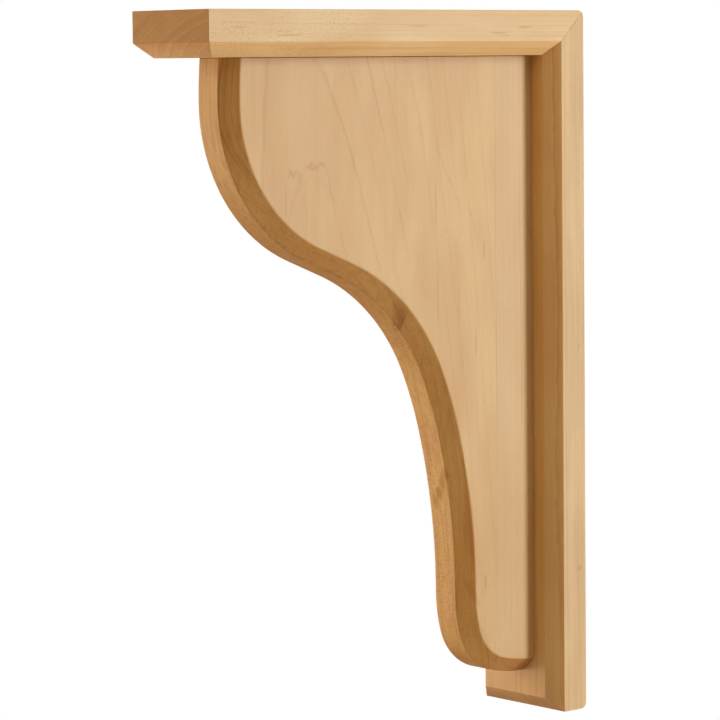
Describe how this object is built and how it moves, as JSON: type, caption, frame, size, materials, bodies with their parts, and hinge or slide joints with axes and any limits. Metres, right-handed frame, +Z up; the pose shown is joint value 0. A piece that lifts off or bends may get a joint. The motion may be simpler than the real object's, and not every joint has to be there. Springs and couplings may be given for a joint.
{
  "type": "wooden corbel bracket",
  "caption": "Plain wooden shelf or countertop corbel: a chamfered top plate mitred to a back plate, with an ogee brace between them.",
  "frame": {"origin": "middle of the back plate's flat back, where it meets the wall", "axes": "+Y into the wall, -Y out along the top plate, +Z up, X across the bracket"},
  "size_m": [0.0508, 0.2032, 0.3048],
  "materials": {
    "maple_top_plate": "raw maple, planed and sanded, grain running out from the wall",
    "maple_back_plate": "raw maple, planed and sanded, grain running up",
    "maple_front_board": "raw flat-sawn maple with nested arches, grain running up",
    "maple_middle_board": "raw maple with fine mineral streaks, grain running up",
    "maple_rear_board": "raw straight-grained maple, grain running up"
  },
  "bodies": {
    "root": {"top_plate": "maple_top_plate", "back_plate": "maple_back_plate", "brace_front_board": "maple_front_board", "brace_middle_board": "maple_middle_board", "brace_rear_board": "maple_rear_board"}
  },
  "joints": []
}
